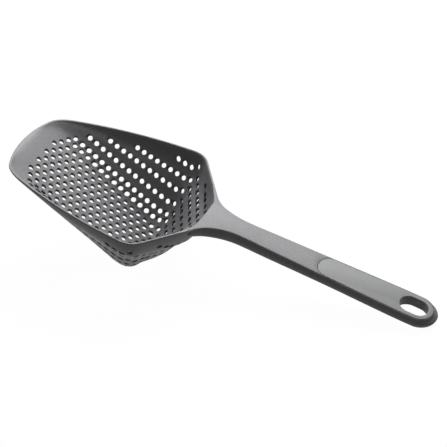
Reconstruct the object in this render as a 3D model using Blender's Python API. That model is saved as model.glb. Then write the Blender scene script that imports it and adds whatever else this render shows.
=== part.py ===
# Slotted scoop spoon: one nylon moulding (bowl, neck and handle) and the soft grip panel
# let into the handle. Modelled flat in the rim's own plane, then tipped to the pose in
# which it rests on a table. Metres, +Z up, +X towards the handle's end.
import bpy
import bmesh
import math
from mathutils import Matrix, Vector
from mathutils.bvhtree import BVHTree

for old in list(bpy.data.objects):
    bpy.data.objects.remove(old, do_unlink=True)

# Bowl, seen from above: x is measured back from the neck's inner edge
LIP_X = 0.1685            # neck edge to the middle of the front lip
LIP_SWEEP = 0.0098        # how far the lip's corners lie behind its middle
FRONT_HALF = 0.0411       # half width at the front corners
SHOULDER_X = 0.0325       # neck edge to the widest corners
SHOULDER_HALF = 0.0680    # half width there
SIDE_BULGE = 0.0053       # outward bow of each long side
NECK_HALF = 0.0238        # half width where the bowl runs into the handle
RIM_WIDTH = 0.0015        # flat top of the rim
WALL = 0.0022             # wall thickness of the bowl

# Bowl, inside
FLOOR_ANGLE = math.radians(28.9)   # slope of the floor against the rim
FLOOR_START = 0.0042      # front lip to where the floor's plane leaves the rim's
FLOOR_FRONT_IN = 0.0040   # rim's inner edge to the floor's front edge
FLOOR_FRONT_RUN = 0.0220  # how far the floor's front corners reach back
FLOOR_FRONT_HALF = 0.0324
FLOOR_BACK_X = 0.0475     # neck edge to the floor's deep end
FLOOR_BACK_HALF = 0.0295
FLOOR_CORNER = 0.0185
FLOOR_NECK_HALF = 0.0070  # floor's back edge below the bowl's neck, half its width
CREASE_SOFT = 0.0030      # floor edge is rounded over this distance
WALL_REACH = 0.55         # share of its way that the wall covers at the shallow front before it turns
CREASE_EXTRA = 5.0        # and over this many times more at the shallow front
BENT_DEPTH = 0.0300       # walls shallower than this are straighter

# Drain holes
HOLE_DIA = 0.0041
HOLE_PITCH = 0.00736      # equilateral pattern, measured along the floor
HOLE_FIRST_X = 0.1460     # neck edge to the second row
HOLE_MIN_DEPTH = 0.0080   # no floor hole nearer to the rim's plane than this
HOLE_MIN_WALL = 0.0075    # and no wall hole nearer than this
WALL_ROW = 0.0320         # rows further out than this stand on the side walls
WALL_ROW_IN = 0.00185     # and are set this much closer to the middle
WALL_ROW_BACK = 0.0008    # and this much nearer to the neck
HOLE_LEAN = (-0.28, 0.0, 0.38)         # added to the floor's normal to give a hole's direction
WALL_LEAN = (-0.85, 0.0, 0.60)         # and to a wall's
STEEP = 0.80              # where the surface's normal rises less than this,
WALL_HOLE_DIA = 0.0046    # holes are this wide
FIELD_SLOPE = 5.5         # the holes end at a line that slants this steeply from the lip to the shoulder
FIELD_END = -0.3985       # and would cross the middle line here
HOLE_OVER = 0.0020        # the cutters reach this far into the bowl
HOLE_UNDER = 0.0032       # and this far out below the wall
HOLE_BUDGET = 9200        # triangles spent on all holes

# Handle
HANDLE_LENGTH = 0.2000    # neck edge to the end
HANDLE_FALL = math.radians(2.76)   # slope of the handle's top against the rim
TOP_DROP = 0.00005        # the handle's top starts this far under the rim's
CREST = 0.0020            # how far the handle's slope runs above the rim's plane at the neck
CREST_RUN = 0.0350        # and over which length the neck rises to it
END_HALF = 0.0138
WAIST_HALF = 0.0100
WAIST_X = 0.0320
NECK_LEAN = 0.33          # the neck's underside leans under the bowl by this share
NECK_LEAN_X = 0.0150      # and stands upright from here on
THICKEN_X = 0.0200        # the handle's thickness changes from here on
NECK_THICK = 0.0118
GRIP_THICK = 0.0099
EDGE_SOFT = 0.0008
SIDE_BOW = 0.0008         # the flanks swell this far beyond the top's edge
TIP_BOW = 0.0022          # and the end this much further
SLOT_HALF = 0.0081        # hanging slot
SLOT_LENGTH = 0.0226
SLOT_FLARE = 0.0016       # the slot's cutter is this much wider all round at its foot
CUT_ABOVE = 0.0040        # cutters start this far over the handle's top
CUT_BELOW = 0.0010        # and end this far under it

# Grip panel
PANEL_START_X = 0.1010
PANEL_INSET = 0.0013
PANEL_THICK = 0.0022
PANEL_NOSE = 0.0090
GAP = 0.0003
PEG_DIA = 0.0040
PEG_LENGTH = 0.0035
PEG_COUNT = 3


def material(name, colour, rough):
    mat = bpy.data.materials.new(name)
    mat.use_nodes = True
    shader = mat.node_tree.nodes["Principled BSDF"]
    shader.inputs["Base Color"].default_value = (*colour, 1.0)
    shader.inputs["Roughness"].default_value = rough
    return mat


def bezier(a, c, b, n):
    out = []
    for i in range(n + 1):
        t = i / n
        out.append(a * (1 - t) ** 2 + c * 2 * t * (1 - t) + b * t * t)
    return out


def line(a, b, n):
    return [a.lerp(b, i / n) for i in range(n + 1)]


def join(*runs):
    pts = list(runs[0])
    for run in runs[1:]:
        pts += run[1:]
    return pts


def inset(pts, d, closing):
    # moves a half outline inwards; its first point stays on the middle line
    out = []
    for i, p in enumerate(pts):
        a = pts[max(i - 1, 0)]
        b = pts[min(i + 1, len(pts) - 1)]
        t = (b - a).normalized()
        q = p + Vector((t.y, -t.x)) * d
        out.append(q)
    out[0].y = 0.0
    if closing:
        out[-1].y = 0.0
    return out


# half outline of the rim, in matching runs: lip, front corner, side, shoulder, diagonal
CORNER = Vector((-LIP_X + LIP_SWEEP, FRONT_HALF))
SHOULDER = Vector((-SHOULDER_X, SHOULDER_HALF))
NECK = Vector((0.0, NECK_HALF))
N_LIP, N_FRONT, N_SIDE, N_SHOULDER, N_DIAG, N_NECK = 2, 3, 4, 3, 2, 1


def rim_runs():
    y_end = FRONT_HALF * 0.81
    lip = []
    for i in range(N_LIP + 1):
        y = y_end * i / N_LIP
        lip.append(Vector((-LIP_X + LIP_SWEEP * (y / FRONT_HALF) ** 2.1, y)))
    d = SHOULDER - CORNER
    n = Vector((-d.y, d.x)).normalized()

    def side_at(t):
        return CORNER + d * t + n * SIDE_BULGE * 4 * t * (1 - t)

    ta, tb = 0.110, 0.922
    side = [side_at(ta + (tb - ta) * i / N_SIDE) for i in range(N_SIDE + 1)]
    diag_dir = (NECK - SHOULDER).normalized()
    diag_from = SHOULDER + diag_dir * 0.15 * SHOULDER_HALF
    front = bezier(lip[-1], CORNER, side[0], N_FRONT)
    shoulder = bezier(side[-1], SHOULDER, diag_from, N_SHOULDER)
    return lip, front, side, shoulder, line(diag_from, NECK, N_DIAG)


def outer_half():
    pts = join(*rim_runs())
    back = RIM_WIDTH * 0.4
    pts[-1] = Vector((back, NECK_HALF - back))
    return pts + [Vector((back, NECK_HALF * 0.78 * (1 - i / N_NECK))) for i in range(N_NECK + 1)]


def inner_half():
    full = inset(join(*rim_runs()), RIM_WIDTH, False)
    keep = len(full) - 2
    pts = full[:keep]
    y_cut = NECK_HALF * 0.79
    pts += bezier(full[keep], Vector((0.0, y_cut)), Vector((0.0, NECK_HALF * 0.62)), 2)[:2]
    return pts + [Vector((0.0, NECK_HALF * 0.62 * (1 - i / N_NECK))) for i in range(N_NECK + 1)]


def spread(poly, marks):
    # points on poly at the same shares of its length as marks have along theirs
    def shares(pts):
        run = [0.0]
        for one, two in zip(pts, pts[1:]):
            run.append(run[-1] + (two - one).length)
        return [r / run[-1] for r in run]

    own = shares(poly)
    out = []
    for share in shares(marks):
        k = 0
        while k < len(own) - 2 and own[k + 1] < share:
            k += 1
        t = (share - own[k]) / max(own[k + 1] - own[k], 1e-9)
        out.append(poly[k].lerp(poly[k + 1], t))
    return out


def floor_half():
    # half outline of the floor, one point for each point of the rim
    x_front = -LIP_X + RIM_WIDTH + FLOOR_FRONT_IN
    x_back = -FLOOR_BACK_X
    f = FLOOR_FRONT_HALF
    g = FLOOR_BACK_HALF
    c = FLOOR_CORNER
    side_from = Vector((x_front + FLOOR_FRONT_RUN, f))
    side_to = Vector((x_back - c, g))
    lip = [Vector((x_front, 0.0))] + bezier(Vector((x_front, 0.45 * f)), Vector((x_front, f)), side_from, 8)
    turn = bezier(side_to, Vector((x_back, g)), Vector((x_back, g - c)), 12)
    neck = Vector((x_back, FLOOR_NECK_HALF))
    rim = inner_half()
    a = N_LIP + N_FRONT
    b = a + N_SIDE
    c = b + N_SHOULDER
    d = c + N_DIAG
    return join(spread(lip, rim[:a + 1]), spread([side_from, side_to], rim[a:b + 1]),
                spread(turn, rim[b:c + 1]), spread([turn[-1], neck], rim[c:d + 1]),
                spread([neck, Vector((x_back, 0.0))], rim[d:]))


TAN = math.tan(FLOOR_ANGLE)
FLOOR_ZERO_X = -LIP_X + FLOOR_START    # where the floor's plane meets the rim's plane


def floor_z(x):
    return -max(x - FLOOR_ZERO_X, 0.0) * TAN


# depth of the wall as a share of the local floor depth, rim to floor
PROFILE = ((0.0, 0.0), (0.10, 0.23), (0.337, 0.43), (0.63, 0.73), (0.90, 0.935))
BACK_DEPTHS = (0.0, 0.235, 0.45, 0.765, 0.95)     # the same for the steeper diagonals and back


def full_loop(half):
    # first and last points lie on the middle line
    return list(half) + [Vector((p.x, -p.y)) for p in reversed(half[1:-1])]


def bowl_mesh():
    inner = inner_half()
    outer = outer_half()
    floor = floor_half()
    assert len(inner) == len(outer) == len(floor)
    centre = Vector(((-LIP_X - FLOOR_BACK_X) / 2, 0.0))
    loops = []
    turn = N_LIP + N_FRONT + N_SIDE
    backs = [min(max((i - turn) / N_SHOULDER, 0.0), 1.0) for i in range(len(inner))]
    # shallow walls are straight, deep ones follow the profile
    bends = [min(-floor_z(b.x) / BENT_DEPTH, 1.0) for b in floor]
    reaches = [WALL_REACH + (1 - WALL_REACH) * bend for bend in bends]
    for (share, side_depth), back_depth in zip(PROFILE, BACK_DEPTHS):
        ring = []
        for a, b, bend, back, reach in zip(inner, floor, bends, backs, reaches):
            p = a.lerp(b, share * reach)
            depth = side_depth + (back_depth - side_depth) * back
            ring.append(Vector((p.x, p.y, floor_z(b.x) * (share + (depth - share) * bend) * reach)))
        loops.append(ring)
    ring = []
    for b, bend in zip(floor, bends):
        q = b + (centre - b).normalized() * CREASE_SOFT * (1 + CREASE_EXTRA * (1 - bend))
        ring.append(Vector((q.x, q.y if b.y > 0 else 0.0, floor_z(q.x))))
    loops.append(ring)

    bm = bmesh.new()
    rows = []
    for ring in loops:
        n = len(ring)
        pts = ring + [Vector((p.x, -p.y, p.z)) for p in reversed(ring[1:-1])]
        rows.append([bm.verts.new(p) for p in pts])
    count = len(rows[0])
    for a, b in zip(rows, rows[1:]):
        for i in range(count):
            j = (i + 1) % count
            bm.faces.new((a[i], a[j], b[j], b[i]))
    bm.faces.new(rows[-1])
    bm.normal_update()
    if bm.faces[-1:] and sum(f.normal.z for f in bm.faces) < 0:
        bmesh.ops.reverse_faces(bm, faces=bm.faces)
        bm.normal_update()
    inside = bm.copy()

    rim_out = [bm.verts.new((p.x, p.y, 0.0)) for p in full_loop(outer)]
    rim_low = [bm.verts.new((p.x, p.y, -WALL * 0.65)) for p in full_loop(outer)]
    under = []
    for row in rows[1:-1]:
        under.append([bm.verts.new(v.co - v.normal * WALL) for v in row])
    # the floor's underside is one flat face
    down = Vector((-math.sin(FLOOR_ANGLE), 0.0, -math.cos(FLOOR_ANGLE))) * WALL
    under.append([bm.verts.new(v.co + down) for v in rows[-1]])
    chain = [rows[0], rim_out, rim_low] + under
    for a, b in zip(chain, chain[1:]):
        for i in range(count):
            j = (i + 1) % count
            bm.faces.new((a[j], a[i], b[i], b[j]))
    bm.faces.new(list(reversed(under[-1])))
    bmesh.ops.recalc_face_normals(bm, faces=bm.faces)
    return bm, inside


def handle_half(x):
    # half width along the handle, smooth through the neck and the waist
    knots = ((0.0, NECK_HALF), (0.25 * WAIST_X, 0.5 * (NECK_HALF + WAIST_HALF)),
             (0.5625 * WAIST_X, WAIST_HALF + 0.18 * (NECK_HALF - WAIST_HALF)), (WAIST_X, WAIST_HALF),
             (0.30 * HANDLE_LENGTH, WAIST_HALF + 0.17 * (END_HALF - WAIST_HALF)),
             (0.55 * HANDLE_LENGTH, WAIST_HALF + 0.54 * (END_HALF - WAIST_HALF)),
             (0.85 * HANDLE_LENGTH, END_HALF), (HANDLE_LENGTH, END_HALF))
    for k in range(len(knots) - 1):
        x0, y0 = knots[k]
        x1, y1 = knots[k + 1]
        if x <= x1:
            xa, ya = knots[max(k - 1, 0)]
            xb, yb = knots[min(k + 2, len(knots) - 1)]
            m0 = (y1 - ya) / (x1 - xa)
            m1 = (yb - y0) / (xb - x0)
            if k == 0:
                m0 = (y1 - y0) / (x1 - x0)
            if k >= len(knots) - 2:
                m1 = 0.0
            h = x1 - x0
            t = (x - x0) / h
            a = (1 + 2 * t) * (1 - t) ** 2
            b = t * (1 - t) ** 2 * h
            c = t * t * (3 - 2 * t)
            d = t * t * (t - 1) * h
            return a * y0 + b * m0 + c * y1 + d * m1
    return END_HALF


def top_z(x):
    # a hair under the rim's plane, so that the two tops never coincide
    left = max(1 - x / CREST_RUN, 0.0)
    return CREST * (1 - left * left) - math.tan(HANDLE_FALL) * x - TOP_DROP


def thickness(x):
    t = min(max((x - THICKEN_X) / (0.55 * HANDLE_LENGTH), 0.0), 1.0)
    return NECK_THICK + (GRIP_THICK - NECK_THICK) * t * t * (3 - 2 * t)


END_X = HANDLE_LENGTH - END_HALF
STATIONS = [WAIST_X * k for k in (0.015625, 0.140625, 0.28125, 0.46875, 0.71875, 1.125)]
STATIONS += [HANDLE_LENGTH * k for k in (0.30, 0.45, 0.60, 0.75, 0.875)]
END_STEPS = 5


def handle_mesh():
    # each half section runs from the top middle, over the edge and round to the bottom middle
    frames = []
    for x in STATIONS:
        if x < END_X - END_HALF / 3:
            frames.append((Vector((x, 0.0)), Vector((0.0, handle_half(x)))))
    for i in range(END_STEPS + 1):
        a = math.pi / 2 * (1 - i / END_STEPS)
        arm = Vector((math.cos(a), math.sin(a) if i < END_STEPS else 0.0)) * END_HALF
        frames.append((Vector((END_X, 0.0)), arm))
    bm = bmesh.new()
    spans = []
    tops = {}
    for base, arm in frames:
        w = arm.length
        deep = thickness(base.x)
        bow = (SIDE_BOW + TIP_BOW * max(arm.x, 0.0) / w) / w
        sect = [(1 - EDGE_SOFT / w, 0.0), (1.0, EDGE_SOFT), (1.0 + bow, 0.38 * deep),
                (1.0 + 0.6 * bow, 0.68 * deep), (0.90, 0.90 * deep), (0.60, deep)]
        sides = []
        for sign in (1, -1):
            ring = []
            for share, down in sect:
                q = base + Vector((arm.x, arm.y * sign)) * share
                lean = NECK_LEAN * max(1 - base.x / NECK_LEAN_X, 0.0)
                ring.append(bm.verts.new((q.x - lean * down, q.y, top_z(q.x) - down)))
            sides.append(ring)
            if arm.y == 0.0:
                sides.append(ring)
                break
        key = round(base.x, 6)
        if key not in tops:
            lean = NECK_LEAN * max(1 - base.x / NECK_LEAN_X, 0.0)
            tops[key] = (bm.verts.new((base.x, 0.0, top_z(base.x))),
                         bm.verts.new((base.x - lean * deep, 0.0, top_z(base.x) - deep)))
        t, b = tops[key]
        spans.append([[t] + s + [b] for s in sides])
    for one, two in zip(spans, spans[1:]):
        for s in (0, 1):
            for k in range(len(one[s]) - 1):
                ring = [one[s][k], one[s][k + 1], two[s][k + 1], two[s][k]]
                flat = []
                for v in ring:
                    if v not in flat:
                        flat.append(v)
                if len(flat) > 2:
                    bm.faces.new(flat)
    face = spans[0][0] + list(reversed(spans[0][1][1:-1]))
    bm.faces.new(face)
    bmesh.ops.recalc_face_normals(bm, faces=bm.faces)
    return bm


def panel_outline(grow):
    # closed loop: nose at the front, parallel to the handle's edge, round the end
    half = []
    x0 = PANEL_START_X - grow
    w = handle_half(PANEL_START_X + PANEL_NOSE) - PANEL_INSET + grow
    for i in range(6):
        a = math.pi / 2 * i / 6
        half.append(Vector((x0 + PANEL_NOSE * (1 - math.cos(a)), w * math.sin(a))))
    first = x0 + PANEL_NOSE
    for i in range(6):
        x = first + (END_X - first) * i / 6
        half.append(Vector((x, handle_half(x) - PANEL_INSET + grow)))
    r = END_HALF - PANEL_INSET + grow
    for i in range(7):
        a = math.pi / 2 * (1 - i / 6)
        half.append(Vector((END_X + r * math.cos(a), r * math.sin(a) if i < 6 else 0.0)))
    return full_loop(half)


def slot_outline(radius, steps=7):
    pts = []
    x1 = END_X
    x0 = END_X - (SLOT_LENGTH - 2 * SLOT_HALF)
    for cx, a0 in ((x1, -math.pi / 2), (x0, math.pi / 2)):
        for i in range(steps + 1):
            a = a0 + math.pi * i / steps
            pts.append(Vector((cx + radius * math.cos(a), radius * math.sin(a))))
    return pts


def prism(loop, up, down, foot=None):
    # stands on the handle's top plane: up and down are measured from it
    bm = bmesh.new()
    a = [bm.verts.new((p.x, p.y, top_z(p.x) + up)) for p in loop]
    b = [bm.verts.new((p.x, p.y, top_z(p.x) - down)) for p in foot or loop]
    n = len(loop)
    for i in range(n):
        j = (i + 1) % n
        bm.faces.new((a[i], a[j], b[j], b[i]))
    bm.faces.new(a)
    bm.faces.new(b)
    bmesh.ops.recalc_face_normals(bm, faces=bm.faces)
    return bm


def peg(x, radius, up, down, steps=8):
    loop = []
    for i in range(steps):
        a = 2 * math.pi * i / steps
        loop.append(Vector((x + radius * math.cos(a), radius * math.sin(a))))
    return prism(loop, up, down)


def peg_xs():
    a = PANEL_START_X + 2 * PANEL_NOSE
    b = END_X - SLOT_LENGTH
    return [a + (b - a) * i / (PEG_COUNT - 1) for i in range(PEG_COUNT)]


def hole_cutters(inside):
    tree = BVHTree.FromBMesh(inside)
    bm = bmesh.new()
    dx = HOLE_PITCH / 2 * math.cos(FLOOR_ANGLE)
    dy = HOLE_PITCH * math.sqrt(3) / 2
    rows = int(SHOULDER_HALF / dy) + 1
    cols = int(LIP_X / dx) + 2
    spots = []
    for j in range(-rows, rows + 1):
        y = j * dy
        back = 0.0
        least = HOLE_MIN_DEPTH
        if abs(y) > WALL_ROW:
            least = HOLE_MIN_WALL
            y -= math.copysign(WALL_ROW_IN, y)
            back = WALL_ROW_BACK
        for k in range(-3, cols):
            if (j + k) % 2:
                continue
            x = -HOLE_FIRST_X + k * dx + back
            hit = tree.ray_cast(Vector((x, y, LIP_X)), Vector((0, 0, -1)))
            if hit[0] is not None and hit[0].z < -least and x > FIELD_END + FIELD_SLOPE * abs(y):
                n = hit[1] if hit[1].z > 0 else -hit[1]
                steep = n.z < STEEP
                n = (n + Vector(WALL_LEAN if steep else HOLE_LEAN)).normalized()
                spots.append((hit[0], n, (WALL_HOLE_DIA if steep else HOLE_DIA) / 2))
    # as many sides to a hole as the mesh can carry
    sides = max(4, min(8, int(HOLE_BUDGET / (4 * len(spots))) - 1))
    for at, n, r in spots:
        place = Matrix.Translation(at) @ n.to_track_quat('Z', 'Y').to_matrix().to_4x4()
        rings = []
        for z in (HOLE_OVER, -WALL - HOLE_UNDER):
            rings.append([bm.verts.new(place @ Vector((r * math.cos(a), r * math.sin(a), z)))
                          for a in (2 * math.pi * (i + 0.5) / sides for i in range(sides))])
        for i in range(sides):
            q = (i + 1) % sides
            bm.faces.new((rings[0][i], rings[1][i], rings[1][q], rings[0][q]))
        bm.faces.new(rings[0])
        bm.faces.new(list(reversed(rings[1])))
    made = len(spots)
    bmesh.ops.recalc_face_normals(bm, faces=bm.faces)
    print("holes", made, "sides", sides)
    return bm


def to_object(bm, name):
    me = bpy.data.meshes.new(name)
    bm.to_mesh(me)
    bm.free()
    ob = bpy.data.objects.new(name, me)
    bpy.context.scene.collection.objects.link(ob)
    return ob


def combine(ob, steps):
    # applies the boolean steps in turn and leaves one plain mesh
    helpers = []
    for kind, bm in steps:
        tool = to_object(bm, "tool")
        helpers.append(tool)
        mod = ob.modifiers.new(kind.lower(), 'BOOLEAN')
        mod.operation = kind
        mod.solver = 'MANIFOLD'
        mod.object = tool
    deps = bpy.context.evaluated_depsgraph_get()
    baked = bpy.data.meshes.new_from_object(ob.evaluated_get(deps))
    ob.modifiers.clear()
    ob.data = baked
    for tool in helpers:
        bpy.data.objects.remove(tool, do_unlink=True)
    bm = bmesh.new()
    bm.from_mesh(ob.data)
    bmesh.ops.remove_doubles(bm, verts=bm.verts, dist=0.000002)
    bm.to_mesh(ob.data)
    bm.free()


def shade(ob, mat, angle):
    me = ob.data
    me.materials.clear()
    me.materials.append(mat)
    for poly in me.polygons:
        poly.use_smooth = True
        poly.material_index = 0
    bm = bmesh.new()
    bm.from_mesh(me)
    for e in bm.edges:
        e.smooth = len(e.link_faces) == 2 and e.calc_face_angle(0.0) < angle
    bm.to_mesh(me)
    bm.free()


def rest_angle(points):
    # the lower hull's edge under the neck: bowl bottom on one side, handle end on the other
    pts = sorted((p.x, p.z) for p in points)
    hull = []
    for p in pts:
        while len(hull) > 1:
            (ax, az), (bx, bz) = hull[-2], hull[-1]
            if (bx - ax) * (p[1] - az) - (bz - az) * (p[0] - ax) <= 0:
                hull.pop()
            else:
                break
        hull.append(p)
    for a, b in zip(hull, hull[1:]):
        if a[0] < 0.0 < b[0]:
            return math.atan2(b[1] - a[1], b[0] - a[0])
    return 0.0


nylon = material("moulded_nylon_graphite", (0.085, 0.087, 0.092), 0.48)
soft = material("soft_touch_elastomer_graphite", (0.10, 0.102, 0.107), 0.62)

shell, inside = bowl_mesh()
moulding = to_object(shell, "scoop_moulding")
steps = [('UNION', handle_mesh()),
         ('DIFFERENCE', prism(panel_outline(GAP), CUT_ABOVE, PANEL_THICK + GAP)),
         ('DIFFERENCE', prism(slot_outline(SLOT_HALF), CUT_ABOVE, GRIP_THICK + CUT_BELOW,
                              slot_outline(SLOT_HALF + SLOT_FLARE)))]
for x in peg_xs():
    steps.append(('DIFFERENCE', peg(x, PEG_DIA / 2 + GAP, CUT_ABOVE, PANEL_THICK + PEG_LENGTH + GAP)))
steps.append(('DIFFERENCE', hole_cutters(inside)))
combine(moulding, steps)
shade(moulding, nylon, math.radians(32))

panel = to_object(prism(panel_outline(0.0), 0.0, PANEL_THICK), "grip_panel")
steps = [('UNION', peg(x, PEG_DIA / 2, -PANEL_THICK / 2, PANEL_THICK + PEG_LENGTH)) for x in peg_xs()]
steps.append(('DIFFERENCE', prism(slot_outline(SLOT_HALF), CUT_ABOVE, GRIP_THICK + CUT_BELOW,
                            slot_outline(SLOT_HALF + SLOT_FLARE))))
combine(panel, steps)
shade(panel, soft, math.radians(32))

# tip both pieces together so that bowl and handle end stand on the table
tip = rest_angle([v.co for v in moulding.data.vertices])
turn = Matrix.Rotation(tip, 4, 'Y')
spun = [turn @ v.co for v in moulding.data.vertices]
low = min(p.z for p in spun)
mid = (min(p.x for p in spun) + max(p.x for p in spun)) / 2
rest = bpy.data.objects.new("rest_frame", None)
bpy.context.scene.collection.objects.link(rest)
rest.rotation_euler = (0.0, tip, 0.0)
rest.location = (-mid, 0.0, -low)
for ob in (moulding, panel):
    ob.parent = rest
print("tip", math.degrees(tip), "mid", mid, "low", low)
for ob in (moulding, panel):
    print(ob.name, "triangles", sum(len(p.vertices) - 2 for p in ob.data.polygons))
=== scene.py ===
"""Slotted scoop spoon: a perforated nylon bowl and handle in one moulding, with a soft grip
panel let into the handle. Both pieces are drawn in the rim's own plane, in metres, with x
measured from the neck's inner edge towards the handle's end, and then laid in the pose in
which the spoon rests on a table."""

import math

import bmesh
import bpy
from bpy.props import FloatProperty, FloatVectorProperty, IntProperty, PointerProperty
from mathutils import Matrix, Vector


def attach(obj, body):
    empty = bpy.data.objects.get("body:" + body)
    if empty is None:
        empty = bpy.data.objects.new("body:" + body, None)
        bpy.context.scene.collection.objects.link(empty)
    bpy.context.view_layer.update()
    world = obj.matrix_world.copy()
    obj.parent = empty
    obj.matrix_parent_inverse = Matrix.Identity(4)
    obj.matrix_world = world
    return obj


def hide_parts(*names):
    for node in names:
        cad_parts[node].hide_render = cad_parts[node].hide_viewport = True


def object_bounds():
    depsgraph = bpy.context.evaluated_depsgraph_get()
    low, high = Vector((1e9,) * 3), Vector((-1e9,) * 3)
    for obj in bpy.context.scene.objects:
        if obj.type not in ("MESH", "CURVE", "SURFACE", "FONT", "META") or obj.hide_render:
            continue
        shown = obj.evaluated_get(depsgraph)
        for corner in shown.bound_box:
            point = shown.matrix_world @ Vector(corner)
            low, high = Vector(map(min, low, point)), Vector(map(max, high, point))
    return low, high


bl_info = {
    "name": "Slotted Scoop Spoon",
    "version": (1, 0, 0),
    "blender": (4, 5, 0),
    "location": "3D View > Sidebar > Scoop",
    "description": "Builds a perforated scoop spoon with a soft grip panel, and its studio",
    "category": "Object",
}

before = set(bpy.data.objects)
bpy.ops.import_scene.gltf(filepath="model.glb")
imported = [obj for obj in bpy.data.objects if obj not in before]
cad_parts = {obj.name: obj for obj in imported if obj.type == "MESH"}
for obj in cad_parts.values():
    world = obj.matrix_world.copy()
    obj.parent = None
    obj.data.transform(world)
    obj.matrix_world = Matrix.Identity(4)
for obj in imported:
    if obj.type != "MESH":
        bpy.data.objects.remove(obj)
CAD_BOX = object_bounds()

# How the spoon lies on its table: the rim's plane is tipped about Y, then set down
TIPPED = math.radians(10.988767)
SET_DOWN = (-0.015692, 0.0, 0.0540922)
REST = Matrix.Translation(SET_DOWN) @ Matrix.Rotation(TIPPED, 4, 'Y')


# Sizes and colours

def length(name, text, value):
    return FloatProperty(name=name, description=text, default=value, unit='LENGTH', precision=5)


def angle(name, text, degrees):
    return FloatProperty(name=name, description=text, default=math.radians(degrees), unit='ROTATION')


def number(name, text, value):
    return FloatProperty(name=name, description=text, default=value)


def direction(name, text, value):
    return FloatVectorProperty(name=name, description=text, default=value)


def colour(name, text, code):
    return FloatVectorProperty(name=name, description=text, default=linear(code), size=3,
                               subtype='COLOR', min=0.0, max=1.0)


def linear(code):
    """An sRGB hex value as linear red, green and blue."""
    parts = [int(code[i:i + 2], 16) / 255 for i in (1, 3, 5)]
    return [p / 12.92 if p <= 0.04045 else ((p + 0.055) / 1.055) ** 2.4 for p in parts]


class ScoopBowlSizes(bpy.types.PropertyGroup):
    lip_x: length("Bowl length", "Neck's inner edge to the middle of the front lip", 0.1685)
    lip_sweep: length("Lip sweep", "How far the lip's corners lie behind its middle", 0.0098)
    front_half: length("Half width in front", "Half width at the front corners", 0.0411)
    shoulder_x: length("Shoulder place", "Neck's inner edge to the widest corners", 0.0325)
    shoulder_half: length("Half width at the shoulders", "Half width at the widest corners", 0.0680)
    side_bulge: length("Side bow", "Outward bow of each long side", 0.0053)
    neck_half: length("Half width of the neck", "Half width where the bowl meets the handle", 0.0238)
    rim_width: length("Rim width", "Width of the rim's top", 0.0015)
    rim_round: length("Rim rounding", "Radius of the rim's edges", 0.0004)
    wall: length("Wall", "Wall thickness of the bowl", 0.0022)
    floor_angle: angle("Floor slope", "Slope of the floor against the rim", 28.9)
    floor_start: length("Floor start", "Lip to where the floor's plane leaves the rim's", 0.0042)
    floor_front_in: length("Floor front edge", "Rim's inner edge to the floor's front edge", 0.0040)
    floor_front_run: length("Floor front corners", "How far the floor's front corners reach back", 0.0220)
    floor_front_half: length("Floor half width in front", "Half width of the floor's front", 0.0324)
    floor_back_x: length("Floor deep end", "Neck's inner edge to the floor's deep end", 0.0475)
    floor_back_half: length("Floor half width at the deep end", "Half width of the deep end", 0.0295)
    floor_corner: length("Floor corner", "Reach of the deep end's rounded corners", 0.0185)
    floor_neck_half: length("Floor below the neck", "Half width of the deep end below the neck", 0.0070)
    bent_depth: length("Straight depth", "Walls shallower than this are straighter", 0.0300)
    wall_reach: number("Wall reach", "Share of its way that the wall covers at the shallow front", 0.55)
    crease_extra: number("Front crease", "Times more crease rounding at the front", 5.0)
    crease_soft: length("Crease rounding", "How far the rounded crease reaches onto the floor", 0.0030)


class ScoopHoleSizes(bpy.types.PropertyGroup):
    diameter: length("Hole diameter", "Diameter of each drain hole in the floor", 0.0041)
    wall_diameter: length("Wall hole diameter", "Diameter of each drain hole in the walls", 0.0046)
    pitch: length("Hole pitch", "Distance between neighbouring holes along the floor", 0.00736)
    first_x: length("Second row", "Neck's inner edge to the second row of holes", 0.1460)
    least_floor: length("Least depth on the floor", "No floor hole lies nearer to the rim's plane", 0.0080)
    least_wall: length("Least depth on the walls", "No wall hole lies nearer to the rim's plane", 0.0075)
    wall_row: length("Wall rows", "Rows further out than this stand on the side walls", 0.0320)
    wall_row_in: length("Wall rows in", "How much closer to the middle the wall rows are set", 0.00185)
    wall_row_back: length("Wall rows back", "How much nearer to the neck the wall rows are set", 0.0008)
    edge: length("Hole edge", "Chamfer of each hole's inner edge", 0.00025)
    steep: number("Steep", "It is a wall where the surface's normal rises less", 0.80)
    lean: direction("Hole lean", "Added to the floor's normal for a hole's direction", (-0.28, 0.0, 0.38))
    wall_lean: direction("Wall hole lean", "The same for a hole in a wall", (-0.85, 0.0, 0.60))
    field_slope: number("Field slope", "How steeply the line slants where the holes end", 5.5)
    field_end: number("Field end", "Where that line would cross the middle line", -0.3985)
    sides: IntProperty(name="Hole sides", description="Sides of each hole", default=18, min=6, max=32)


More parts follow.
